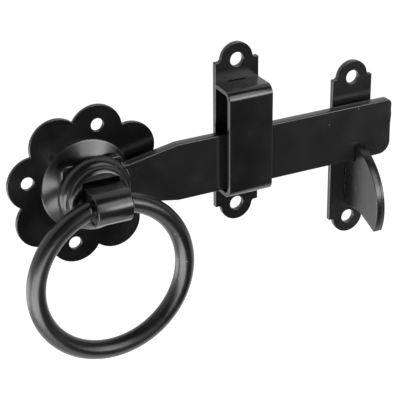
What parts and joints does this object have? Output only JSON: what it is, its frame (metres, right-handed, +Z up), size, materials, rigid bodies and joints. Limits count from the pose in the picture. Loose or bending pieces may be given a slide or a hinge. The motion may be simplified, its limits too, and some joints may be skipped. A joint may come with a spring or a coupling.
{
  "type": "ring gate latch",
  "caption": "Ring-handled gate latch: a scalloped rose carries a hinged ring that turns a flat bar, which lifts in a strap guide and drops behind a finned catch.",
  "frame": {"origin": "middle of the rose plate on its back face, on the axis that the handle turns about", "axes": "+X along the latch bar towards its free end, +Z up, -Y out of the mounting face towards the viewer"},
  "size_m": [0.2189, 0.0385, 0.144],
  "materials": {
    "black_coat": "satin black powder coat",
    "zinc": "zinc plated"
  },
  "bodies": {
    "fixed": {"rose_plate": "black_coat", "guide_plate": "black_coat", "guide_strap": "black_coat", "catch_plate": "black_coat", "catch_fin": "black_coat"},
    "handle": {"spindle": "black_coat", "spindle_washer": "zinc", "latch_bar": "black_coat", "cup": "black_coat", "knuckle_strap": "black_coat"},
    "ring": {"ring": "black_coat"}
  },
  "joints": [
    {"name": "handle_turn", "type": "hinge", "parent": "fixed", "child": "handle", "pos_m": [0, 0, 0], "axis": [0, -1, 0], "range_deg": [0, 12.5]},
    {"name": "ring_swing", "type": "hinge", "parent": "handle", "child": "ring", "pos_m": [0, -0.0299, 0], "axis": [-1, 0, 0], "range_deg": [-18, 198]}
  ]
}
